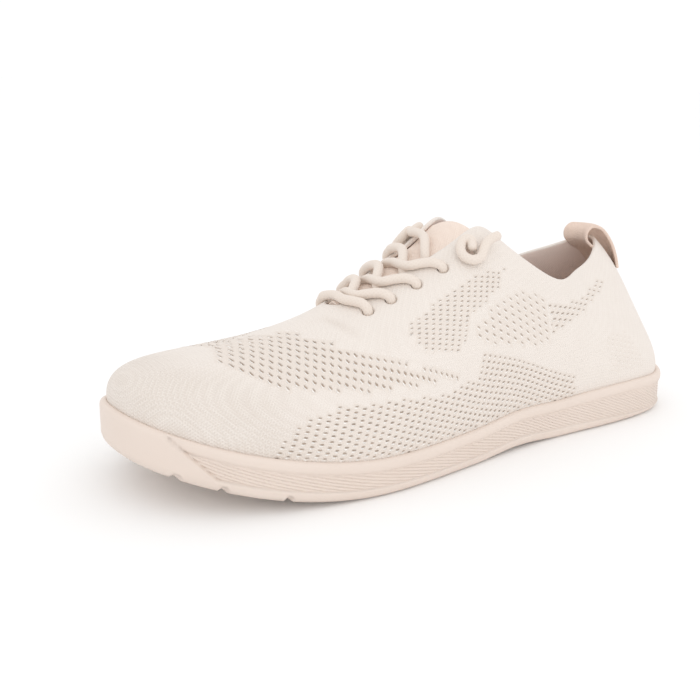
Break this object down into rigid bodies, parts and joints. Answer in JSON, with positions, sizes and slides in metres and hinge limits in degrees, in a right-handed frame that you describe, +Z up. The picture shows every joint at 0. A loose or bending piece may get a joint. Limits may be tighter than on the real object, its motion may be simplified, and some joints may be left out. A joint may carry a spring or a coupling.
{
  "type": "barefoot shoe",
  "caption": "Left low-cut barefoot shoe: hollow seamless knit upper on a thin cupped rubber sole with ribbed sidewall and toe bumper, tongue, insole, heel pull loop and round elastic lace.",
  "frame": {"origin": "centre of the shoe's bounding box, on the ground plane under the sole", "axes": "+X from heel to toe, +Y to the outer side of the left foot, +Z up"},
  "size_m": [0.282, 0.1108, 0.0967],
  "materials": {
    "sole_rubber": "matte",
    "upper_knit": "matte knit",
    "tongue_knit": "matte knit",
    "lining": "matte",
    "ribbon": "woven",
    "lace": "braided"
  },
  "bodies": {
    "root": {"outsole": "sole_rubber", "upper": "upper_knit", "insole": "lining", "tongue": "tongue_knit", "pull_tab": "ribbon", "lace_bar": "lace", "lace_crossing_1": "lace", "lace_crossing_2": "lace", "lace_crossing_3": "lace", "lace_end_outer": "lace", "lace_end_inner": "lace"}
  },
  "joints": []
}
